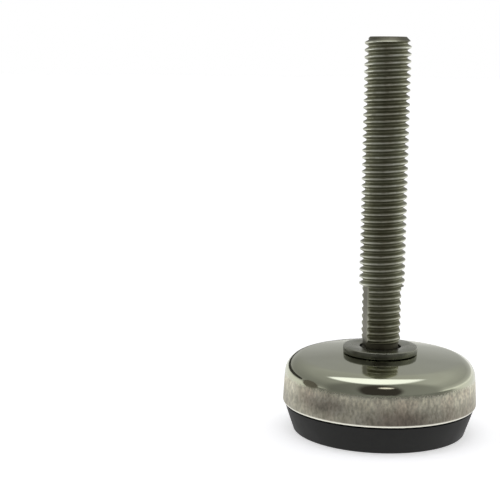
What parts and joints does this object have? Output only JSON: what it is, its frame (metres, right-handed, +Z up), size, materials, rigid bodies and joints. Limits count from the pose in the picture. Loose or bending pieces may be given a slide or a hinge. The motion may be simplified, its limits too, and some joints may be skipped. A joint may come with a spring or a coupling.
{
  "type": "furniture levelling foot",
  "caption": "Levelling foot: threaded stud with wrench flats and a ball end that turns and tilts in a domed stainless cup on a tapered rubber pad.",
  "frame": {"origin": "centre of the rubber pad's underside, on the floor", "axes": "+Z up along the stud; the stud tilts about Y at rest, so it leans towards +X or -X; the wrench flats face -X and +X, turned 7.2 degrees about Z"},
  "size_m": [0.0418, 0.0418, 0.0845],
  "materials": {
    "stud_steel": "rolled stainless, slightly dull, dark in the thread roots",
    "collar_steel": "satin stainless",
    "cup_steel": "polished stainless, satin on the side wall",
    "seat_plastic": "natural acetal",
    "ring_steel": "turned steel",
    "plate_steel": "zinc plated",
    "pad_rubber": "matt black moulded rubber"
  },
  "bodies": {
    "base": {"cup_shell": "cup_steel", "collar_washer": "collar_steel", "rubber_pad": "pad_rubber", "load_plate": "plate_steel", "socket_ring": "ring_steel"},
    "ball_cage": {"upper_ball_seat": "seat_plastic", "lower_ball_seat": "seat_plastic"},
    "stud": {"threaded_stud": "stud_steel"}
  },
  "joints": [
    {"name": "swivel", "type": "hinge", "parent": "base", "child": "ball_cage", "pos_m": [0, 0, 0.01182], "axis": [0, 0, 1], "continuous": true},
    {"name": "tilt", "type": "hinge", "parent": "ball_cage", "child": "stud", "pos_m": [0, 0, 0.01182], "axis": [0, 1, 0], "range_deg": [-4, 4]}
  ]
}
